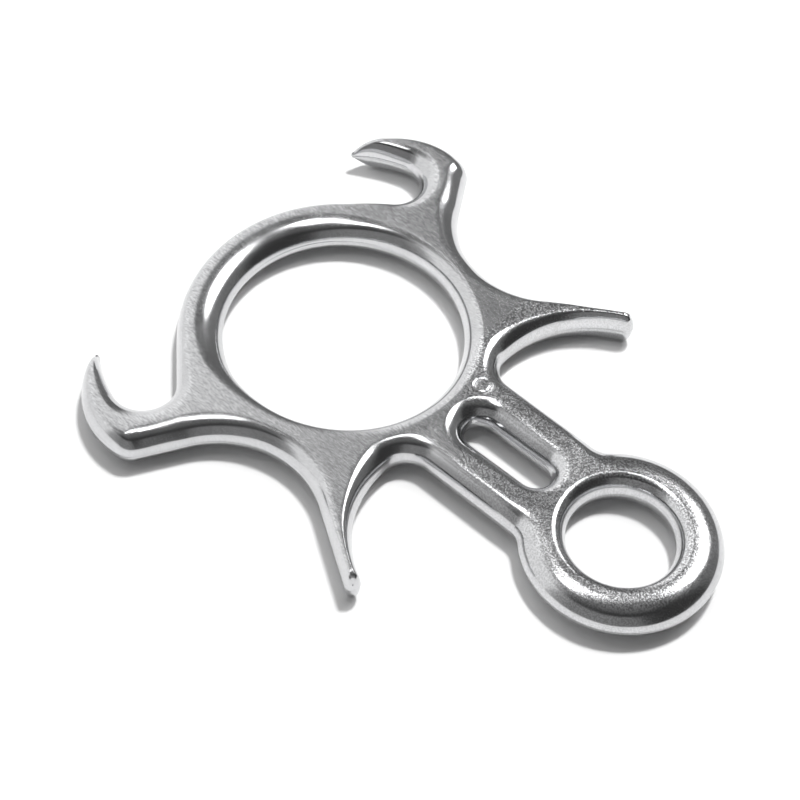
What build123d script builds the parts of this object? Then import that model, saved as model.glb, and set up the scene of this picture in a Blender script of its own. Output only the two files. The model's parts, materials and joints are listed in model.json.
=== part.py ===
from build123d import *

import os
from math import asin, atan2, cos, degrees, sin, sqrt

# A rescue figure-8 descender: one flat forging with a rope ring, a carabiner eye, a slotted stem between
# them, two curved hook horns beside the rope ring and two straight horns beside the stem.
#
# Frame: +X runs along the stem from the rope ring to the carabiner eye, +Y is the left side, +Z is up.
# The origin is at the middle of the outline, on the surface that the descender lies on.
#
# The outline is drawn around "pins": circles that it bends around, joined by straight tangent runs.
# The nodes are regions of the one forging. They meet face to face along the cut lines below.

# ---- Driving dimensions, millimetres ----
thickness = 9.5
ring_to_eye = 80.0

ring_outer_radius = 37.8
ring_bore_radius = 27.6
eye_outer_radius = 22.1
eye_bore_radius = 12.0

stem_width = 28.4
stem_to_eye_radius = 4.6
slot_length = 22.8
slot_width = 7.4
slot_from_ring = 48.5

throat_x, throat_y, throat_radius = -22.4, 41.1, 7.2
claw_tip_x, claw_tip_y, claw_tip_radius = -36.9, 41.3, 1.25
claw_inner_radius = 35.5
claw_outer_radius = 20.8
shoulder_x, shoulder_y, shoulder_radius = -13.2, 53.8, 3.2

gap_x, gap_y, gap_radius = 15.4, 57.2, 23.1
horn_tip_x, horn_tip_y, horn_tip_radius = 45.3, 46.7, 1.7
horn_inner_radius = 27.0
horn_corner_x, horn_corner_radius = 37.1, 4.0

body_edge_radius = 2.1
horn_edge_radius = 1.5
claw_edge_radius = 1.15

# ---- Cut lines between the regions: corners of each window, from the rope ring's centre ----
far = 90.0
stem_start_x = 31.4
stem_end_x = 63.6
horn_corner_y = 18.2
horn_end_x = 52.0
horn_root_x = 28.5
stem_window = [
    (stem_start_x, -12.0),
    (stem_start_x, 12.0),
    (horn_root_x, horn_corner_y),
    (stem_end_x, horn_corner_y),
    (stem_end_x, -horn_corner_y),
    (horn_root_x, -horn_corner_y),
]
eye_window = [(stem_end_x, -far), (stem_end_x, far), (far + far, far), (far + far, -far)]
hook_window = [
    (-far, 37.0),
    (-24.0, 37.0),
    (-18.1, 31.0),
    (4.2, 34.0),
    (4.2, far),
    (-far, far),
]
claw_window = [(-25.5, 38.0), (-34.3, 56.0), (-far, 56.0), (-far, 38.0)]
horn_window = [
    (19.0, 31.5),
    (horn_root_x, horn_corner_y),
    (horn_end_x, horn_corner_y),
    (horn_end_x, far),
    (19.0, far),
]
spike_window = [(31.6, 42.1), (41.7, 32.3), (horn_end_x, 32.3), (horn_end_x, far), (31.6, far)]

# ---- Worked out from the dimensions above ----
half_thickness = thickness / 2
stem_half_width = stem_width / 2
overall_left = -ring_outer_radius
overall_right = ring_to_eye + eye_outer_radius
ring_x = -(overall_left + overall_right) / 2
mid_plane = Plane((ring_x, 0, half_thickness))
touching = 0.001


# ---- Helpers for the outline ----
def tangent_run(first, second):
    """The two ends of the straight run from one pin to the next.

    A pin is (centre, radius, turn), and turn is 1 where the outline bends to the left around it and -1
    where it bends to the right.
    """
    first_centre, first_radius, first_turn = first
    second_centre, second_radius, second_turn = second
    reach = second_centre - first_centre
    offset = first_turn * first_radius - second_turn * second_radius
    heading = atan2(reach.Y, reach.X) + asin(offset / reach.length)
    across = Vector(sin(heading), -cos(heading))
    start = first_centre + across * (first_turn * first_radius)
    end = second_centre + across * (second_turn * second_radius)
    return start, end


def circle_crossing(first_centre, first_radius, second_centre, second_radius, side):
    """Where two circles cross. side picks the crossing to the left (1) or right (-1) of their axis."""
    reach = second_centre - first_centre
    along = (reach.length**2 + first_radius**2 - second_radius**2) / (2 * reach.length)
    across = sqrt(first_radius**2 - along**2)
    direction = reach.normalized()
    return first_centre + direction * along + Vector(-direction.Y, direction.X) * (side * across)


def towards(centre, target, distance):
    """The point at a distance from the centre, in the direction of the target."""
    return centre + (target - centre).normalized() * distance


def pin_arc(centre, start, end, turn):
    """The arc around a centre from start to end, in the turn's direction."""
    radius = (start - centre).length
    start_angle = degrees(atan2(start.Y - centre.Y, start.X - centre.X))
    end_angle = degrees(atan2(end.Y - centre.Y, end.X - centre.X))
    sweep = (end_angle - start_angle) % 360
    if turn < 0:
        sweep -= 360
    return CenterArc(centre, radius, start_angle, sweep)


# ---- Pins and tangent points of the half outline, from the ring's far side to the eye's far side ----
ring = Vector(0, 0)
eye = Vector(ring_to_eye, 0)
throat = Vector(throat_x, throat_y)
claw_tip = Vector(claw_tip_x, claw_tip_y)
shoulder = Vector(shoulder_x, shoulder_y)
gap = Vector(gap_x, gap_y)
horn_tip = Vector(horn_tip_x, horn_tip_y)
horn_corner = Vector(horn_corner_x, stem_half_width + horn_corner_radius)

ring_leave, throat_arrive = tangent_run((ring, ring_outer_radius, -1), (throat, throat_radius, 1))
claw_inner = circle_crossing(throat, claw_inner_radius - throat_radius, claw_tip, claw_inner_radius, 1)
throat_leave = towards(throat, claw_inner, -throat_radius)
claw_outer = circle_crossing(shoulder, claw_outer_radius - shoulder_radius, claw_tip, claw_outer_radius, 1)
shoulder_arrive = towards(shoulder, claw_outer, -shoulder_radius)
shoulder_leave, gap_arrive = tangent_run((shoulder, shoulder_radius, -1), (gap, gap_radius, 1))
gap_leave, horn_tip_arrive = tangent_run((gap, gap_radius, 1), (horn_tip, horn_tip_radius, -1))
horn_inner = circle_crossing(
    horn_tip,
    horn_inner_radius + horn_tip_radius,
    horn_corner,
    horn_inner_radius - horn_corner_radius,
    1,
)
horn_tip_leave = towards(horn_tip, horn_inner, horn_tip_radius)
horn_corner_arrive = towards(horn_corner, horn_inner, -horn_corner_radius)
horn_corner_leave = Vector(horn_corner_x, stem_half_width)
blend_height = stem_half_width + stem_to_eye_radius
blend_x = ring_to_eye - sqrt((eye_outer_radius + stem_to_eye_radius) ** 2 - blend_height**2)
blend = Vector(blend_x, blend_height)
blend_arrive = Vector(blend_x, stem_half_width)
blend_leave = towards(blend, eye, stem_to_eye_radius)

# ---- The plan of the whole forging ----
with BuildSketch() as plan:
    with BuildLine() as outline:
        pin_arc(ring, Vector(overall_left, 0), ring_leave, -1)
        Line(ring_leave, throat_arrive)
        pin_arc(throat, throat_arrive, throat_leave, 1)
        pin_arc(claw_inner, throat_leave, claw_tip, 1)
        pin_arc(claw_outer, claw_tip, shoulder_arrive, -1)
        pin_arc(shoulder, shoulder_arrive, shoulder_leave, -1)
        Line(shoulder_leave, gap_arrive)
        pin_arc(gap, gap_arrive, gap_leave, 1)
        Line(gap_leave, horn_tip_arrive)
        pin_arc(horn_tip, horn_tip_arrive, horn_tip_leave, -1)
        pin_arc(horn_inner, horn_tip_leave, horn_corner_arrive, 1)
        pin_arc(horn_corner, horn_corner_arrive, horn_corner_leave, 1)
        Line(horn_corner_leave, blend_arrive)
        pin_arc(blend, blend_arrive, blend_leave, 1)
        pin_arc(eye, blend_leave, Vector(overall_right, 0), -1)
        mirror(about=Plane.XZ)
    make_face()
    claw_tips = plan.vertices().filter_by(lambda v: abs(v.X - claw_tip_x) < touching)
    fillet(claw_tips, claw_tip_radius)
    Circle(ring_bore_radius, mode=Mode.SUBTRACT)
    with Locations((ring_to_eye, 0)):
        Circle(eye_bore_radius, mode=Mode.SUBTRACT)
    with Locations((slot_from_ring, 0)):
        SlotOverall(slot_length, slot_width, mode=Mode.SUBTRACT)


# ---- Helpers for the regions ----
def mirrored(window):
    """The same window on the right side of the descender."""
    return [(x, -y) for x, y in window]


def rim_edges(region):
    """The edges around the top and bottom of the forging's own walls, without those on the cut lines."""
    bottom = region.edges().filter_by_position(Axis.Z, 0, 0)
    top = region.edges().filter_by_position(Axis.Z, thickness, thickness)
    rim = []
    for edge in bottom + top:
        middle = edge.position_at(0.5) - mid_plane.origin
        on_the_plan = Vertex(middle.X, middle.Y, 0)
        if min(wall.distance_to(on_the_plan) for wall in plan.edges()) < touching:
            rim.append(edge)
    return rim


# ---- Rope ring: the large ring, with the webs that carry the horns ----
with BuildPart() as rope_ring:
    with BuildSketch(mid_plane):
        add(plan.sketch)
        for window in (stem_window, eye_window, hook_window, horn_window):
            Polygon(*window, align=None, mode=Mode.SUBTRACT)
        for window in (hook_window, horn_window):
            Polygon(*mirrored(window), align=None, mode=Mode.SUBTRACT)
    extrude(amount=half_thickness, both=True)
    fillet(rim_edges(rope_ring), body_edge_radius)

# ---- Carabiner eye: the small ring ----
with BuildPart() as carabiner_eye:
    with BuildSketch(mid_plane):
        add(plan.sketch)
        Polygon(*eye_window, align=None, mode=Mode.INTERSECT)
    extrude(amount=half_thickness, both=True)
    fillet(rim_edges(carabiner_eye), body_edge_radius)

# ---- Slotted stem ----
with BuildPart() as slotted_stem:
    with BuildSketch(mid_plane):
        add(plan.sketch)
        Polygon(*stem_window, align=None, mode=Mode.INTERSECT)
    extrude(amount=half_thickness, both=True)
    fillet(rim_edges(slotted_stem), body_edge_radius)

# ---- Hook horns: the web beside the rope ring and its claw, whose slim tip has finer edges ----
with BuildPart() as claw_point:
    with BuildSketch(mid_plane):
        add(plan.sketch)
        Polygon(*claw_window, align=None, mode=Mode.INTERSECT)
    extrude(amount=half_thickness, both=True)
    fillet(rim_edges(claw_point), claw_edge_radius)

with BuildPart() as hook_horn_left:
    with BuildSketch(mid_plane):
        add(plan.sketch)
        Polygon(*hook_window, align=None, mode=Mode.INTERSECT)
        Polygon(*claw_window, align=None, mode=Mode.SUBTRACT)
    extrude(amount=half_thickness, both=True)
    fillet(rim_edges(hook_horn_left), body_edge_radius)
    add(claw_point.part)

with BuildPart() as hook_horn_right:
    add(hook_horn_left.part.mirror(Plane.XZ))

# ---- Straight horns: the web beside the stem and its spike, whose slim tip has finer edges ----
with BuildPart() as spike_point:
    with BuildSketch(mid_plane):
        add(plan.sketch)
        Polygon(*spike_window, align=None, mode=Mode.INTERSECT)
    extrude(amount=half_thickness, both=True)
    fillet(rim_edges(spike_point), horn_edge_radius)

with BuildPart() as straight_horn_left:
    with BuildSketch(mid_plane):
        add(plan.sketch)
        Polygon(*horn_window, align=None, mode=Mode.INTERSECT)
        Polygon(*spike_window, align=None, mode=Mode.SUBTRACT)
    extrude(amount=half_thickness, both=True)
    fillet(rim_edges(straight_horn_left), body_edge_radius)
    add(spike_point.part)

with BuildPart() as straight_horn_right:
    add(straight_horn_left.part.mirror(Plane.XZ))

# ---- Write each region ----
regions = {
    "rope_ring": rope_ring,
    "carabiner_eye": carabiner_eye,
    "slotted_stem": slotted_stem,
    "hook_horn_left": hook_horn_left,
    "hook_horn_right": hook_horn_right,
    "straight_horn_left": straight_horn_left,
    "straight_horn_right": straight_horn_right,
}
os.makedirs("parts", exist_ok=True)
for name, region in regions.items():
    region.part.label = name
    export_step(region.part, f"parts/{name}.step")
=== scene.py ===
"""Figure-8 descender: one continuous forging with rounded edges, shown on a pale studio floor."""

import json
import math

import bpy
import numpy as np
from mathutils import Matrix, Vector
from mathutils.geometry import delaunay_2d_cdt


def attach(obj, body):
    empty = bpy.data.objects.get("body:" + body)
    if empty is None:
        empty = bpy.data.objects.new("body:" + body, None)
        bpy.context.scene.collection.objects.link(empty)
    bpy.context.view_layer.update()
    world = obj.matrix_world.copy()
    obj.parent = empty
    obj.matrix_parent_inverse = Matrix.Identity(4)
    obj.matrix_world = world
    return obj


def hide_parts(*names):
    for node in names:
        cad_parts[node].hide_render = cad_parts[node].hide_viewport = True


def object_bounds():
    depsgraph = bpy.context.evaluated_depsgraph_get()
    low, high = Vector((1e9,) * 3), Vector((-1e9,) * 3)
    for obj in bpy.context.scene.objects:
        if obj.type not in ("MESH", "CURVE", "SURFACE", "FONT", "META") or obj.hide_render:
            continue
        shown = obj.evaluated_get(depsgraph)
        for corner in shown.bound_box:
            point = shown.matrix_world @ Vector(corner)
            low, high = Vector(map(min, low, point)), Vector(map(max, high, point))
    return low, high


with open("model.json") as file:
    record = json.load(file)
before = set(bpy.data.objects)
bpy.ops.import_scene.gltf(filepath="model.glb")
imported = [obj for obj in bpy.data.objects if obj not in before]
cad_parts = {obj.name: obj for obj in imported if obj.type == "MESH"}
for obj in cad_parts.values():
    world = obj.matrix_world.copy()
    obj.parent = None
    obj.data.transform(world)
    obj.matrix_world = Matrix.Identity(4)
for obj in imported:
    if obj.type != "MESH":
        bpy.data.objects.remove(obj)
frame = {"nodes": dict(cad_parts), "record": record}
cad_low, cad_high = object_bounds()
record = frame["record"]

MM = 0.001
MIX_COLOUR_INPUTS = (0, 6, 7)
MIX_COLOUR_OUTPUT = 2

# ---- Sizes taken from the frame, in millimetres ----
mounts = {mount["name"]: mount for mount in record["mounts"]}
ring_place = np.array(mounts["rope_bore"]["pos_m"][:2]) / MM
eye_place = np.array(mounts["carabiner_bore"]["pos_m"][:2]) / MM
slot_place = np.array(mounts["rope_slot"]["pos_m"][:2]) / MM
RING_BORE = mounts["rope_bore"]["dims"]["r_mm"]
EYE_BORE = mounts["carabiner_bore"]["dims"]["r_mm"]
RING_TO_EYE = eye_place[0] - ring_place[0]
HALF = (cad_high.z - cad_low.z) / MM / 2
RING_OUTER = ring_place[0] - cad_low.x / MM
EYE_OUTER = cad_high.x / MM - eye_place[0]
SLOT_CENTRE = slot_place[0] - ring_place[0]

# ---- The rest of the plan, in millimetres from the rope ring's centre ----
# As in the CAD model, but the hook shoulders and the horns' inner corners are rounder and the claw
# tips sharper.
STEM_HALF_WIDTH = 14.2
BLEND_RADIUS = 4.6
SLOT_LENGTH = 22.8
SLOT_WIDTH = 7.4
THROAT = np.array([-22.4, 41.1])
THROAT_RADIUS = 7.2
CLAW_TIP = np.array([-36.9, 41.3])
CLAW_TIP_RADIUS = 0.5
CLAW_INNER_RADIUS = 35.5
CLAW_OUTER_RADIUS = 20.8
SHOULDER = np.array([-14.5, 52.7])
SHOULDER_RADIUS = 4.9
GAP = np.array([15.4, 57.2])
GAP_RADIUS = 23.1
HORN_TIP = np.array([45.3, 46.7])
HORN_TIP_RADIUS = 1.7
HORN_INNER_RADIUS = 27.0
HORN_CORNER_X = 37.1
HORN_CORNER_RADIUS = 6.0
# From here on the rounded edge belongs to the eye
EYE_BLEND_X = 64.0

# Share of the thickness left at the tip, length of the taper, how pointed
HORN_TAPER = (0.5, 2.4, 0.5)
CLAW_TAPER = (0.06, 7.5, 0.8)
# Marks pressed into the top: start, end, radius around that line, width, depth
MARKS = [
    ((33.9, 8.4), (33.9, 8.4), 1.8, 0.35, 0.12),
    ((32.5, -8.7), (33.8, -7.9), 0.0, 0.4, 0.05),
]
# Shares of the half thickness where the grainy finish starts, and where it is full
LAND_HEIGHT = 0.93
LAND_HEIGHT_AT_EYE = 0.8
LAND_FULL = 0.99
# Where the sanded finish gives way to the grainy one: least, most, at the axis, change across, blend
SANDED_EDGE = (24.0, 46.0, 34.0, -0.75, 1.6)

# ---- Camera: degrees, millimetres of lens, and metres from the ring's centre along its own axes ----
SENSOR = 36.0
LENS = 87.44
CLIP_START = 0.01
CAMERA_AZIMUTH = 38.063
CAMERA_TILT = 35.557
CAMERA_ROLL = 4.363
CAMERA_OFFSET = (0.012804, -0.014488, 0.442548)

# ---- Studio ----
FLOOR_REACH = 4.0
FLOOR_NOISE_SCALE = 3.0
FLOOR_SHADES = (0.84, 0.86)
FLOOR_ROUGHNESS = 0.6
EXPOSURE = 0.0
# Brightness of the surroundings: (azimuth, shade), low down and high up
SURROUND = [
    (0, 0.05), (28, 0.05), (50, 0.2), (75, 0.24), (95, 0.2), (124, 0.17), (138, 1.15),
    (235, 1.05), (250, 0.4), (265, 0.24), (300, 0.26), (325, 0.22), (345, 0.07),
]
SURROUND_HIGH = [
    (0, 0.05), (28, 0.05), (50, 0.2), (75, 0.24), (95, 0.2), (124, 0.17), (138, 1.15),
    (225, 1.05), (240, 0.4), (255, 0.06), (300, 0.04), (325, 0.05), (345, 0.05),
]
HIGH_FROM = 0.7
HIGH_FULL = 0.78
FLOOR_SHARE = 0.8
OVERHEAD = 0.15
OVERHEAD_FROM = 0.8
OVERHEAD_FULL = 0.95
# name, azimuth, elevation, distance in metres, size in metres, watts, seen in reflections,
# place on the floor it is aimed at in metres, spread in degrees
LAMPS = [
    ("key_softbox", 81, 51, 1.2, 0.58, 4.2, True, (0, 0), 180),
    ("overhead_softbox", 130, 82, 0.356, 0.085, 0.07, True, (0, 0), 180),
    ("horn_softbox", 104, 72, 0.368, 0.11, 0.005, True, (-0.01, 0.06), 20),
    ("hook_softbox", 226, 79, 0.357, 0.08, 0.07, True, (0, 0), 180),
    ("floor_key", 100, 68, 3.0, 0.4, 76.0, False, (0, 0), 180),
]

# ---- Metal, with noise scales in cycles per millimetre and the bump's height in metres ----
NOISE_RANGE = (0.34, 0.66)
GRAIN_SCALE = 3.0
HATCH_SCALE = 1.0
HATCH_DETAIL = 2.0
HATCH_ROUGHNESS = 0.6
HATCH_ANGLE = 13
HATCH_STRETCH = (1.0, 4.2, 1.0)
BROAD_SCALE = 0.12
BROAD_DETAIL = 2.0
BROAD_RANGE = (0.3, 0.7)
BUMP_STRENGTH = 0.2
BUMP_HEIGHT = 0.00002
# On the rounded edges, then on the land
BUMP_SHARES = (0.2, 1.0)
SHADE_SHARES = (0.25, 1.0)
ROUGHNESSES = (0.15, 0.215)
# Where grainy, then where sanded
SHADE_DEPTHS = (1.05, 0.5)
NOISE_MEAN = 0.5
SHADE_AMOUNT = 0.5
TONES = (0.57, 0.63)
GREEN_SHARE = 1.005
BLUE_SHARE = 1.02
ROUGHNESS_SPREAD = 0.03

# ---- How finely the surface is divided, in millimetres ----
OUTLINE_STEP = 0.4
OUTLINE_TURN = math.radians(5)
ARC_LEAST = 2
LAND_STEP = 0.9
MARK_STEP = 0.22
MARK_MARGIN = 3
EDGE_LEVELS = 15
LAST_ROWS = (0.003, 0.0012, 0.0003)
BLUR_STEP = 0.2
LARGE_ROOM = 30.0
CONTACT = 0.01
LAND_MARGIN = 0.55
CDT_CLOSE = 1e-5

# ---- Rounded edges, in millimetres unless said ----
EDGE_POWER = 2.0
EYE_EDGE = 3.3
SLOT_EDGES = [4.2, 3.2]
# Widths along each stretch of the outline, from its start to its end
EDGES = {
    "ring": [2.4],
    "throat": [4.2],
    "claw_inner": [4.6],
    "claw_tip": [3.2],
    "claw_outer": [2.4],
    "shoulder": [3.4, 4.8],
    "shoulder_run": [5.0, 5.2],
    "gap": [4.8, 4.0, 2.2],
    "horn_run": [1.6, 1.2],
    "horn_tip": [1.2, 1.4],
    "horn_inner": [1.4, 1.9, 2.7, 4.6],
    "horn_corner": [4.6, 4.0],
    "stem": [3.5],
    "stem_blend": [3.6, 4.6],
    "eye": [6.2],
}
# Share of the half thickness that the curve is cut at, where it meets the land
CREASE = 0.99
STEM_CREASE = 0.97
# Around the rope ring's bore: angles from +X, widths, and powers of the curve
BORE_ANGLES = np.radians([-180, -150, -120, -100, -90, -60, -30, 0, 30, 60, 90, 120, 150, 180])
BORE_EDGES = [7.0, 7.0, 6.2, 4.4, 3.4, 3.2, 4.0, 3.9, 4.5, 3.5, 3.6, 4.8, 6.8, 7.0]
BORE_POWERS = [2.0, 2.0, 2.0, 2.6, 3.0, 3.0, 2.5, 2.0, 2.0, 2.0, 2.0, 2.0, 2.0, 2.0]
# How far widths are blurred along the edge, and how much of the room beside it they may take
WIDTH_BLUR = 4.0
ROOM_BLUR = 1.2
ROOM_SHARE = 0.85
RING_ROOM_SHARE = 1.3
ROOM_SLACK = 1.08
# A faint parting ridge round the walls
SEAM_LEVELS = np.array([0, 0.2, 0.35, 0.5, 0.65, 0.8, 1.0])
SEAM_PLACE = 0.5
SEAM_WIDTH = 0.22
SEAM_HEIGHT = 0.1


# ---- Plan outline ----
def tangent_run(first, second):
    """The ends of the straight run between two pins. A pin is (centre, radius, turn)."""
    (start_centre, start_radius, start_turn), (end_centre, end_radius, end_turn) = first, second
    reach = end_centre - start_centre
    offset = start_turn * start_radius - end_turn * end_radius
    heading = math.atan2(reach[1], reach[0]) + math.asin(offset / np.hypot(*reach))
    across = np.array([math.sin(heading), -math.cos(heading)])
    start = start_centre + across * start_turn * start_radius
    end = end_centre + across * end_turn * end_radius
    return start, end


def circle_crossing(first, first_radius, second, second_radius, side):
    """Where two circles cross, to the left (1) or right (-1) of the line between their centres."""
    reach = second - first
    length = np.hypot(*reach)
    along = (length**2 + first_radius**2 - second_radius**2) / (2 * length)
    across = math.sqrt(first_radius**2 - along**2)
    direction = reach / length
    return first + direction * along + np.array([-direction[1], direction[0]]) * side * across


def towards(centre, target, distance):
    return centre + (target - centre) / np.hypot(*(target - centre)) * distance


def arc_points(centre, start, end, turn):
    """Points along an arc from start up to but not including end."""
    radius = np.hypot(*(start - centre))
    start_angle = math.atan2(*(start - centre)[::-1])
    sweep = (math.atan2(*(end - centre)[::-1]) - start_angle) * turn % (2 * math.pi)
    count = max(ARC_LEAST, math.ceil(max(sweep * radius / OUTLINE_STEP, sweep / OUTLINE_TURN)))
    angles = start_angle + turn * sweep * np.arange(count) / count
    return centre + radius * np.stack([np.cos(angles), np.sin(angles)], 1)


def line_points(start, end):
    count = max(1, math.ceil(np.hypot(*(end - start)) / OUTLINE_STEP))
    return start + (end - start) * (np.arange(count) / count)[:, None]


def claw_centres():
    """Centres of the left claw's inner edge, outer edge and tip."""
    inner = circle_crossing(THROAT, CLAW_INNER_RADIUS - THROAT_RADIUS, CLAW_TIP, CLAW_INNER_RADIUS, 1)
    outer = circle_crossing(SHOULDER, CLAW_OUTER_RADIUS - SHOULDER_RADIUS, CLAW_TIP, CLAW_OUTER_RADIUS, 1)
    tip = circle_crossing(
        inner, CLAW_INNER_RADIUS + CLAW_TIP_RADIUS, outer, CLAW_OUTER_RADIUS - CLAW_TIP_RADIUS, 1
    )
    return inner, outer, tip


def half_outline():
    """Stretches of the outline on the left side, from the ring's far side to the eye's.

    Each is (points, widths of the rounded edge from its start to its end, in millimetres).
    """
    ring = np.zeros(2)
    eye = np.array([RING_TO_EYE, 0.0])
    corner = np.array([HORN_CORNER_X, STEM_HALF_WIDTH + HORN_CORNER_RADIUS])
    ring_leave, throat_arrive = tangent_run((ring, RING_OUTER, -1), (THROAT, THROAT_RADIUS, 1))
    inner, outer, tip = claw_centres()
    throat_leave = towards(THROAT, inner, -THROAT_RADIUS)
    tip_arrive = towards(tip, inner, CLAW_TIP_RADIUS)
    tip_leave = towards(tip, outer, -CLAW_TIP_RADIUS)
    shoulder_arrive = towards(SHOULDER, outer, -SHOULDER_RADIUS)
    shoulder_leave, gap_arrive = tangent_run((SHOULDER, SHOULDER_RADIUS, -1), (GAP, GAP_RADIUS, 1))
    gap_leave, horn_arrive = tangent_run((GAP, GAP_RADIUS, 1), (HORN_TIP, HORN_TIP_RADIUS, -1))
    horn_inner = circle_crossing(
        HORN_TIP, HORN_INNER_RADIUS + HORN_TIP_RADIUS, corner, HORN_INNER_RADIUS - HORN_CORNER_RADIUS, 1
    )
    horn_leave = towards(HORN_TIP, horn_inner, HORN_TIP_RADIUS)
    corner_arrive = towards(corner, horn_inner, -HORN_CORNER_RADIUS)
    corner_leave = np.array([HORN_CORNER_X, STEM_HALF_WIDTH])
    blend_y = STEM_HALF_WIDTH + BLEND_RADIUS
    blend_x = RING_TO_EYE - math.sqrt((EYE_OUTER + BLEND_RADIUS) ** 2 - blend_y**2)
    blend = np.array([blend_x, blend_y])
    blend_arrive = np.array([blend_x, STEM_HALF_WIDTH])
    blend_leave = towards(blend, eye, BLEND_RADIUS)
    far_end = np.array([RING_TO_EYE + EYE_OUTER, 0.0])
    return [
        (arc_points(ring, np.array([-RING_OUTER, 0.0]), ring_leave, -1), EDGES["ring"]),
        (line_points(ring_leave, throat_arrive), EDGES["ring"]),
        (arc_points(THROAT, throat_arrive, throat_leave, 1), EDGES["throat"]),
        (arc_points(inner, throat_leave, tip_arrive, 1), EDGES["claw_inner"]),
        (arc_points(tip, tip_arrive, tip_leave, -1), EDGES["claw_tip"]),
        (arc_points(outer, tip_leave, shoulder_arrive, -1), EDGES["claw_outer"]),
        (arc_points(SHOULDER, shoulder_arrive, shoulder_leave, -1), EDGES["shoulder"]),
        (line_points(shoulder_leave, gap_arrive), EDGES["shoulder_run"]),
        (arc_points(GAP, gap_arrive, gap_leave, 1), EDGES["gap"]),
        (line_points(gap_leave, horn_arrive), EDGES["horn_run"]),
        (arc_points(HORN_TIP, horn_arrive, horn_leave, -1), EDGES["horn_tip"]),
        (arc_points(horn_inner, horn_leave, corner_arrive, 1), EDGES["horn_inner"]),
        (arc_points(corner, corner_arrive, corner_leave, 1), EDGES["horn_corner"]),
        (line_points(corner_leave, blend_arrive), EDGES["stem"]),
        (arc_points(blend, blend_arrive, blend_leave, 1), EDGES["stem_blend"]),
        (arc_points(eye, blend_leave, far_end, -1), EDGES["eye"]),
    ]


def spread(values, count):
    """That many values, evenly along the given ones."""
    return np.interp(np.linspace(0, len(values) - 1, count), np.arange(len(values)), values)


def outer_loop():
    """The whole outline, with the metal on its left.

    Like circle_loop and slot_loop, it gives at each point the width of the rounded edge, the share of
    the room beside it that the edge may take, the power of its curve, and where the land cuts it off.
    """
    stretches = half_outline()
    points = np.vstack([stretch for stretch, _ in stretches])
    widths = np.concatenate([spread(widths, len(stretch)) for stretch, widths in stretches])
    far_end = np.array([[RING_TO_EYE + EYE_OUTER, 0.0]])
    mirror = points[1:][::-1] * [1, -1]
    loop = np.vstack([points, far_end, mirror])[::-1]
    edge = np.concatenate([widths, widths[-1:], widths[1:][::-1]])[::-1]
    at_eye = loop[:, 0] > EYE_BLEND_X
    share = np.where(at_eye, RING_ROOM_SHARE, ROOM_SHARE)
    beside_stem = np.abs(loop[:, 1]) < STEM_HALF_WIDTH + BLEND_RADIUS
    at_stem = ~at_eye & (loop[:, 0] > HORN_CORNER_X) & beside_stem
    cut = np.where(at_eye, 1.0, np.where(at_stem, STEM_CREASE, CREASE))
    return loop, edge, share, np.full(len(loop), EDGE_POWER), cut


def circle_loop(centre_x, radius, width_at, power_at, share):
    """A round hole's edge, with the metal on its left."""
    count = math.ceil(2 * math.pi * radius / OUTLINE_STEP)
    angles = -2 * math.pi * np.arange(count) / count
    points = np.stack([centre_x + radius * np.cos(angles), radius * np.sin(angles)], 1)
    return points, width_at(angles), np.full(count, share), power_at(angles), np.ones(count)


def slot_loop():
    radius = SLOT_WIDTH / 2
    reach = SLOT_LENGTH / 2 - radius
    left = np.array([SLOT_CENTRE - reach, 0.0])
    right = np.array([SLOT_CENTRE + reach, 0.0])
    up = np.array([0.0, radius])
    points = np.vstack(
        [
            line_points(left + up, right + up),
            arc_points(right, right + up, right - up, -1),
            line_points(right - up, left - up),
            arc_points(left, left - up, left + up, -1),
        ]
    )
    even = np.ones(len(points))
    width = np.interp(points[:, 0] - SLOT_CENTRE, [-reach, reach], SLOT_EDGES)
    return points, width, ROOM_SHARE * even, EDGE_POWER * even, STEM_CREASE * even


# ---- Rounded edges ----
def around_bore(values):
    """A reader for values given at the bore's listed angles."""
    return lambda angles: np.interp(np.arctan2(np.sin(angles), np.cos(angles)), BORE_ANGLES, values)


def everywhere(value):
    return lambda angles: np.full(len(angles), value)


def inward_normals(points):
    along = np.roll(points, -1, 0) - np.roll(points, 1, 0)
    along /= np.hypot(along[:, 0], along[:, 1])[:, None]
    return np.stack([-along[:, 1], along[:, 0]], 1)


def room_inward(points, normals, everything):
    """Radius of the largest circle inside the plan that touches the outline at each point."""
    room = np.full(len(points), LARGE_ROOM)
    for index in range(len(points)):
        reach = everything - points[index]
        depth = reach @ normals[index]
        near = depth > CONTACT
        room[index] = min(LARGE_ROOM, ((reach[near] ** 2).sum(1) / (2 * depth[near])).min())
    return room


def smoothed(values, points, reach):
    """Values blurred along a closed loop by about that many millimetres."""
    step = np.hypot(*(np.roll(points, -1, 0) - points).T)
    place = np.concatenate([[0], np.cumsum(step)])
    length = place[-1]
    even = np.linspace(0, length, math.ceil(length / BLUR_STEP), endpoint=False)
    sampled = np.interp(even, place, np.append(values, values[0]))
    apart = np.minimum(even, length - even)
    weight = np.exp(-((apart / reach) ** 2))
    blurred = np.fft.irfft(np.fft.rfft(sampled) * np.fft.rfft(weight / weight.sum()), len(even))
    return np.interp(place[:-1], np.append(even, length), np.append(blurred, blurred[0]))


def edge_heights():
    """Heights above the mid-plane of the rows of points, from the mid-plane up to the land."""
    angle = np.linspace(0, math.pi / 2, EDGE_LEVELS)[:-1]
    heights = HALF * np.sin(angle)
    heights = np.concatenate([SEAM_LEVELS, heights[heights > SEAM_LEVELS[-1] + SEAM_WIDTH]])
    return np.concatenate([heights, HALF * (1 - np.array(LAST_ROWS)), [HALF]])


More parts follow.
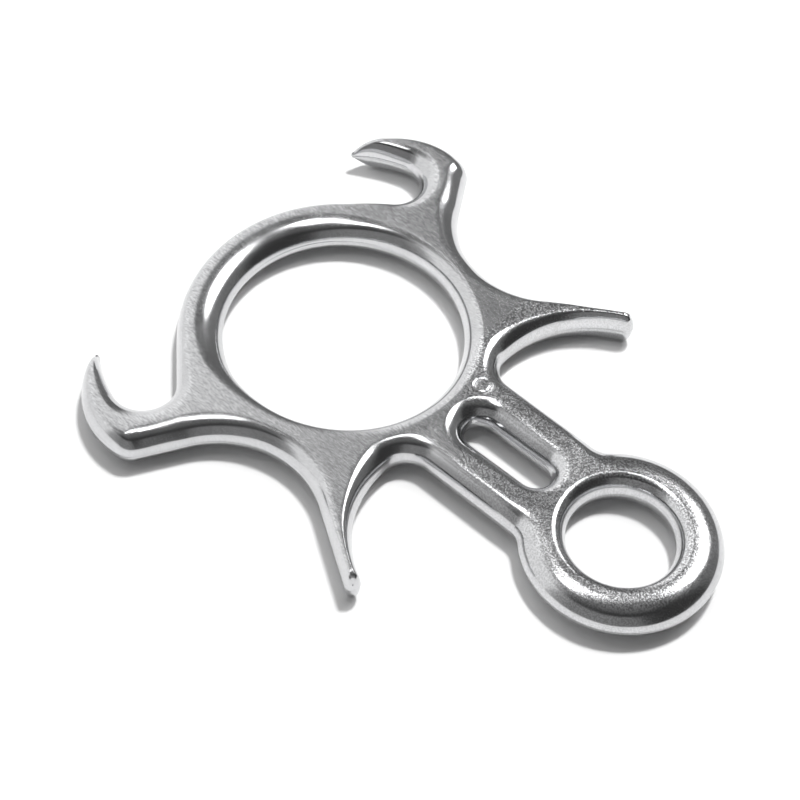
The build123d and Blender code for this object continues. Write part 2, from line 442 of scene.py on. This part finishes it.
def edge_rows(points, normals, inset, shape, side):
    """Rows of points from the wall's mid-plane to the land's border, on the top (1) or bottom (-1)."""
    power, cut = shape
    whole = 1 - (1 - cut.clip(0, 1) ** power) ** (1 / power)
    rows = []
    for height in edge_heights():
        part = (1 - (1 - (height / HALF * cut.clip(0, 1)) ** power) ** (1 / power)) / whole
        out = SEAM_HEIGHT * math.exp(-(((side * height - SEAM_PLACE) / SEAM_WIDTH) ** 2))
        move = inset * part - out
        plan = points + normals * move[:, None]
        rows.append(np.column_stack([plan, np.full(len(points), side * height)]))
    return rows


def inside_plan(places, loops):
    """Which plan points lie on the land that the given closed loops border."""
    crossings = np.zeros(len(places), int)
    for loop in loops:
        for start, end in zip(loop, np.roll(loop, -1, 0)):
            spans = (start[1] <= places[:, 1]) != (end[1] <= places[:, 1])
            if spans.any():
                rise = (places[spans, 1] - start[1]) / (end[1] - start[1])
                crossings[spans] += places[spans, 0] < start[0] + rise * (end[0] - start[0])
    return crossings % 2 == 1


def relief(plan):
    """Depth of the small marks pressed into the top land, in millimetres."""
    depth = np.zeros(len(plan))
    for start, end, radius, width, deep in MARKS:
        along = np.array(end) - start
        share = ((plan - start) @ along / max(along @ along, CONTACT)).clip(0, 1)
        apart = np.hypot(*(plan - start - share[:, None] * along).T)
        depth += deep * np.exp(-(((apart - radius) / width) ** 2))
    return depth


def land_mesh(loops, marks):
    """Triangles over the flat land between the borders, with the borders' points first."""
    border = np.vstack(loops)
    edges = []
    first = 0
    for loop in loops:
        count = len(loop)
        edges += [(first + step, first + (step + 1) % count) for step in range(count)]
        first += count
    low, high = border.min(0), border.max(0)
    columns = np.arange(low[0], high[0], LAND_STEP)
    rows = np.arange(low[1], high[1], LAND_STEP * math.sqrt(3) / 2)
    shift = (np.arange(len(rows)) % 2) * LAND_STEP / 2
    across, up = np.meshgrid(columns, rows)
    grid = np.stack([across + shift[:, None], up], -1).reshape(-1, 2)
    for start, end, radius, width, _ in marks:
        middle = (np.array(start) + end) / 2
        reach = radius + MARK_MARGIN * width + np.hypot(*(np.array(end) - start)) / 2
        ticks = np.arange(-reach, reach, MARK_STEP)
        fine = np.stack(np.meshgrid(ticks, ticks), -1).reshape(-1, 2)
        fine = fine[np.hypot(*fine.T) < reach] + middle
        grid = np.vstack([grid[np.hypot(*(grid - middle).T) > reach], fine])
    grid = grid[inside_plan(grid, loops)]
    clear = np.array([((border - place) ** 2).sum(1).min() for place in grid])
    grid = grid[clear > (LAND_STEP * LAND_MARGIN) ** 2]
    places = np.vstack([border, grid])
    result = delaunay_2d_cdt([Vector(place) for place in places], edges, [], 0, CDT_CLOSE, True)
    found, _, triangles, sources, _, _ = result
    found = np.array(found)
    origin = np.array([source[0] if source else -1 for source in sources])
    triangles = np.array(triangles)
    triangles = triangles[inside_plan(found[triangles].mean(1), loops)]
    return places, origin[triangles]


def build_body():
    plans = [
        outer_loop(),
        circle_loop(0, RING_BORE, around_bore(BORE_EDGES), around_bore(BORE_POWERS), RING_ROOM_SHARE),
        slot_loop(),
        circle_loop(RING_TO_EYE, EYE_BORE, everywhere(EYE_EDGE), everywhere(EDGE_POWER), ROOM_SHARE),
    ]
    everything = np.vstack([plan[0] for plan in plans])
    walls = []
    for points, width, share, power, cut in plans:
        normals = inward_normals(points)
        room = room_inward(points, normals, everything)
        limit = room * smoothed(share, points, WIDTH_BLUR)
        inset = np.minimum(smoothed(width, points, WIDTH_BLUR), limit)
        inset = np.minimum(smoothed(inset, points, ROOM_BLUR), limit * ROOM_SLACK)
        shape = (smoothed(power, points, WIDTH_BLUR), smoothed(cut, points, WIDTH_BLUR))
        walls.append((points, normals, inset, shape))

    verts = []
    faces = []
    total = 0
    borders = {1: [], -1: []}
    for points, normals, inset, shape in walls:
        count = len(points)
        lower = edge_rows(points, normals, inset, shape, -1)
        upper = edge_rows(points, normals, inset, shape, 1)
        stack = lower[:0:-1] + upper
        for level in range(len(stack) - 1):
            base = total + level * count
            for step in range(count):
                after = (step + 1) % count
                faces.append((base + step, base + after, base + count + after, base + count + step))
        borders[-1].append((total, lower[-1]))
        borders[1].append((total + (len(stack) - 1) * count, upper[-1]))
        verts.extend(stack)
        total += count * len(stack)
    for side in (1, -1):
        loops = [row[:, :2] for _, row in borders[side]]
        places, triangles = land_mesh(loops, MARKS if side == 1 else [])
        border_ids = np.concatenate([start + np.arange(len(row)) for start, row in borders[side]])
        inner = places[len(border_ids):]
        ids = np.concatenate([border_ids, total + np.arange(len(inner))])
        pressed = relief(inner) if side == 1 else np.zeros(len(inner))
        verts.append(np.column_stack([inner, side * (HALF - pressed)]))
        total += len(inner)
        turned = triangles if side == 1 else triangles[:, ::-1]
        faces.extend(tuple(face) for face in ids[turned].tolist())
    return np.vstack(verts), faces


def tip_factor(plan):
    """How much of the full thickness is left near the points of the horns."""
    factor = np.ones(len(plan))
    horn_end = HORN_TIP + np.ones(2) * HORN_TIP_RADIUS / 2
    claw_end = claw_centres()[2]
    for tip, (least, reach, point) in ((horn_end, HORN_TAPER), (claw_end, CLAW_TAPER)):
        for side in (1, -1):
            apart = np.hypot(*(plan - tip * [1, side]).T) / reach
            taper = (1 - (1 - apart.clip(0, 1)) ** 2) ** point
            factor *= least + (1 - least) * taper
    return factor


def make_object(name, verts, faces, material):
    mesh = bpy.data.meshes.new(name)
    mesh.from_pydata(verts.tolist(), [], faces)
    mesh.validate()
    mesh.polygons.foreach_set("use_smooth", [True] * len(mesh.polygons))
    mesh.materials.append(material)
    piece = bpy.data.objects.new(name, mesh)
    bpy.context.scene.collection.objects.link(piece)
    return piece


# ---- Materials ----
class Nodes:
    """A short way to write a material's nodes."""

    def __init__(self, name):
        self.material = bpy.data.materials.new(name)
        self.material.use_nodes = True
        self.tree = self.material.node_tree
        self.tree.nodes.clear()

    def add(self, kind, inputs=None, **settings):
        node = self.tree.nodes.new(kind)
        for key, value in settings.items():
            setattr(node, key, value)
        for key, value in (inputs or {}).items():
            if isinstance(value, bpy.types.NodeSocket):
                self.tree.links.new(value, node.inputs[key])
            else:
                node.inputs[key].default_value = value
        return node

    def attribute(self, name):
        return self.add("ShaderNodeAttribute", attribute_name=name).outputs["Fac"]

    def math(self, operation, first, second):
        return self.add("ShaderNodeMath", {0: first, 1: second}, operation=operation).outputs[0]

    def blend(self, share, low, high):
        return self.add("ShaderNodeMix", {0: share, 2: low, 3: high}).outputs[0]

    def noise(self, vector, **settings):
        return self.add("ShaderNodeTexNoise", {"Vector": vector, **settings}).outputs["Fac"]

    def ramp(self, value, low, high, out_low, out_high):
        return self.add(
            "ShaderNodeMapRange",
            {"Value": value, "From Min": low, "From Max": high, "To Min": out_low, "To Max": out_high},
        ).outputs["Result"]


def metal_material():
    nodes = Nodes("forging_metal")
    place = nodes.add("ShaderNodeTexCoord").outputs["Object"]
    scaled = nodes.add(
        "ShaderNodeMapping", {"Vector": place, "Scale": (1 / MM, 1 / MM, 1 / MM)}
    ).outputs["Vector"]
    land = nodes.attribute("land")
    sanded = nodes.attribute("sanded")

    fine = nodes.noise(scaled, Scale=GRAIN_SCALE, Detail=0.0)
    grain = nodes.ramp(fine, *NOISE_RANGE, 0.0, 1.0)
    along = nodes.add(
        "ShaderNodeMapping",
        {"Vector": scaled, "Rotation": (0, 0, math.radians(HATCH_ANGLE)), "Scale": HATCH_STRETCH},
    ).outputs["Vector"]
    scratch = nodes.noise(along, Scale=HATCH_SCALE, Detail=HATCH_DETAIL, Roughness=HATCH_ROUGHNESS)
    hatch = nodes.ramp(scratch, *NOISE_RANGE, 0.0, 1.0)
    texture = nodes.blend(sanded, grain, hatch)

    height = nodes.math("MULTIPLY", texture, nodes.ramp(land, 0, 1, *BUMP_SHARES))
    bump = nodes.add(
        "ShaderNodeBump", {"Height": height, "Strength": BUMP_STRENGTH, "Distance": BUMP_HEIGHT}
    ).outputs["Normal"]

    broad = nodes.noise(scaled, Scale=BROAD_SCALE, Detail=BROAD_DETAIL)
    shade_depth = nodes.math(
        "MULTIPLY", nodes.ramp(land, 0, 1, *SHADE_SHARES), nodes.ramp(sanded, 0, 1, *SHADE_DEPTHS)
    )
    shade = nodes.math("MULTIPLY", nodes.math("SUBTRACT", texture, NOISE_MEAN), shade_depth)
    tone = nodes.math(
        "ADD", nodes.ramp(broad, *BROAD_RANGE, *TONES), nodes.math("MULTIPLY", shade, SHADE_AMOUNT)
    )
    green = nodes.math("MULTIPLY", tone, GREEN_SHARE)
    blue = nodes.math("MULTIPLY", tone, BLUE_SHARE)
    colour = nodes.add(
        "ShaderNodeCombineColor", {"Red": tone, "Green": green, "Blue": blue}
    ).outputs["Color"]
    rough = nodes.math(
        "ADD",
        nodes.ramp(land, 0, 1, *ROUGHNESSES),
        nodes.ramp(broad, *BROAD_RANGE, -ROUGHNESS_SPREAD, ROUGHNESS_SPREAD),
    )
    shader = nodes.add(
        "ShaderNodeBsdfPrincipled",
        {"Base Color": colour, "Metallic": 1.0, "Roughness": rough, "Normal": bump},
    )
    nodes.add("ShaderNodeOutputMaterial", {"Surface": shader.outputs["BSDF"]})
    return nodes.material


def floor_material():
    nodes = Nodes("studio_floor")
    place = nodes.add("ShaderNodeTexCoord").outputs["Object"]
    shade = nodes.ramp(nodes.noise(place, Scale=FLOOR_NOISE_SCALE), *BROAD_RANGE, *FLOOR_SHADES)
    colour = nodes.add(
        "ShaderNodeCombineColor", {"Red": shade, "Green": shade, "Blue": shade}
    ).outputs["Color"]
    shader = nodes.add("ShaderNodeBsdfPrincipled", {"Base Color": colour, "Roughness": FLOOR_ROUGHNESS})
    nodes.add("ShaderNodeOutputMaterial", {"Surface": shader.outputs["BSDF"]})
    return nodes.material


def smooth_step(value, low, high):
    share = ((value - low) / (high - low)).clip(0, 1)
    return share * share * (3 - 2 * share)


def paint(piece, name, values):
    """Gives the piece's material a value at each point."""
    layer = piece.data.attributes.new(name, "FLOAT", "POINT")
    layer.data.foreach_set("value", values.astype(np.float32))


# ---- The forging ----
body_verts, body_faces = build_body()
thickness = tip_factor(body_verts[:, :2])
centre = np.array([ring_place[0], ring_place[1], HALF])
tapered = body_verts * np.column_stack([np.ones(len(thickness)), np.ones(len(thickness)), thickness])
forging = make_object("forging_body", (tapered + centre) * MM, body_faces, metal_material())

height_share = np.abs(body_verts[:, 2]) / HALF
rough_from = np.where(body_verts[:, 0] > EYE_BLEND_X, LAND_HEIGHT_AT_EYE, LAND_HEIGHT)
paint(forging, "land", smooth_step(height_share, rough_from, LAND_FULL))
least, most, at_axis, slant, blend_width = SANDED_EDGE
sanded_edge = (at_axis + slant * body_verts[:, 1]).clip(least, most)
paint(forging, "sanded", 1 - smooth_step(body_verts[:, 0] - sanded_edge, 0, blend_width))
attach(forging, "root")
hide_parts(*sorted(frame["nodes"]))

# ---- Floor ----
floor_verts = np.array([[-1, -1, 0], [1, -1, 0], [1, 1, 0], [-1, 1, 0]]) * FLOOR_REACH
floor = make_object("studio_floor", floor_verts, [(0, 1, 2, 3)], floor_material())


# ---- Camera ----
def turn(axis, degrees):
    return Matrix.Rotation(math.radians(degrees), 3, axis)


camera_data = bpy.data.cameras.new("camera")
camera_data.sensor_width = SENSOR
camera_data.lens = LENS
camera_data.clip_start = CLIP_START
camera = bpy.data.objects.new("camera", camera_data)
bpy.context.scene.collection.objects.link(camera)
facing = turn("Z", CAMERA_AZIMUTH) @ turn("X", CAMERA_TILT) @ turn("Z", CAMERA_ROLL)
ring_middle = Vector((ring_place[0] * MM, ring_place[1] * MM, HALF * MM))
camera.matrix_world = Matrix.Translation(ring_middle + facing @ Vector(CAMERA_OFFSET)) @ facing.to_4x4()
bpy.context.scene.camera = camera


# ---- Light ----
def soft_light(name, azimuth, elevation, distance, size, power, glossy, aim, spread_angle):
    light = bpy.data.lights.new(name, "AREA")
    light.shape = "DISK"
    light.size = size
    light.energy = power
    light.spread = math.radians(spread_angle)
    lamp = bpy.data.objects.new(name, light)
    bpy.context.scene.collection.objects.link(lamp)
    lamp.visible_glossy = glossy
    flat = math.cos(math.radians(elevation)) * distance
    heading = math.radians(azimuth)
    where = Vector((flat * math.cos(heading), flat * math.sin(heading), 0))
    where.z = math.sin(math.radians(elevation)) * distance
    lamp.location = where
    lamp.rotation_euler = (Vector((*aim, 0)) - where).to_track_quat("-Z", "Y").to_euler()


def shade_around(tree, turn_share, stops_by_azimuth):
    """Brightness by compass direction."""
    ramp = tree.nodes.new("ShaderNodeValToRGB")
    ramp.color_ramp.interpolation = "EASE"
    tree.links.new(turn_share, ramp.inputs["Fac"])
    stops = sorted(((azimuth / 360 + 0.5) % 1, shade) for azimuth, shade in stops_by_azimuth)
    while len(ramp.color_ramp.elements) < len(stops):
        ramp.color_ramp.elements.new(0.5)
    for element, (position, _) in zip(ramp.color_ramp.elements, stops):
        element.position = position
    for element, (position, shade) in zip(ramp.color_ramp.elements, stops):
        element.position = position
        element.color = (shade, shade, shade, 1)
    return ramp.outputs["Color"]


def blend_upwards(tree, height, below, above, start, full):
    """One colour low down, another high up, as heights on a unit sphere."""
    share = tree.nodes.new("ShaderNodeMapRange")
    share.interpolation_type = "SMOOTHSTEP"
    share.inputs["From Min"].default_value = start
    share.inputs["From Max"].default_value = full
    tree.links.new(height, share.inputs["Value"])
    mix = tree.nodes.new("ShaderNodeMix")
    mix.data_type = "RGBA"
    factor, low, high = (mix.inputs[index] for index in MIX_COLOUR_INPUTS)
    tree.links.new(share.outputs["Result"], factor)
    tree.links.new(below, low)
    tree.links.new(above, high)
    return mix.outputs[MIX_COLOUR_OUTPUT]


def world_light():
    """Studio surroundings: a bright wall on one side, darker ones on the others."""
    world = bpy.data.worlds.new("studio")
    bpy.context.scene.world = world
    world.use_nodes = True
    tree = world.node_tree
    tree.nodes.clear()
    link = tree.links.new
    place = tree.nodes.new("ShaderNodeTexCoord")
    around = tree.nodes.new("ShaderNodeTexGradient")
    around.gradient_type = "RADIAL"
    link(place.outputs["Generated"], around.inputs["Vector"])
    walls = tree.nodes.new("ShaderNodeSeparateXYZ")
    link(place.outputs["Generated"], walls.inputs[0])
    low = shade_around(tree, around.outputs["Fac"], SURROUND)
    high = shade_around(tree, around.outputs["Fac"], SURROUND_HIGH)
    side = blend_upwards(tree, walls.outputs["Z"], low, high, HIGH_FROM, HIGH_FULL)
    ceiling = tree.nodes.new("ShaderNodeRGB").outputs[0]
    ceiling.default_value = (OVERHEAD, OVERHEAD, OVERHEAD, 1)
    shade = blend_upwards(tree, walls.outputs["Z"], side, ceiling, OVERHEAD_FROM, OVERHEAD_FULL)
    back = tree.nodes.new("ShaderNodeBackground")
    link(shade, back.inputs["Color"])
    path = tree.nodes.new("ShaderNodeLightPath")
    matt = tree.nodes.new("ShaderNodeMapRange")
    matt.inputs["To Min"].default_value = 1.0
    matt.inputs["To Max"].default_value = FLOOR_SHARE
    link(path.outputs["Is Diffuse Ray"], matt.inputs["Value"])
    link(matt.outputs["Result"], back.inputs["Strength"])
    out = tree.nodes.new("ShaderNodeOutputWorld")
    link(back.outputs[0], out.inputs["Surface"])


world_light()
for lamp_settings in LAMPS:
    soft_light(*lamp_settings)
bpy.context.scene.view_settings.view_transform = "Standard"
bpy.context.scene.view_settings.look = "None"
bpy.context.scene.view_settings.exposure = EXPOSURE
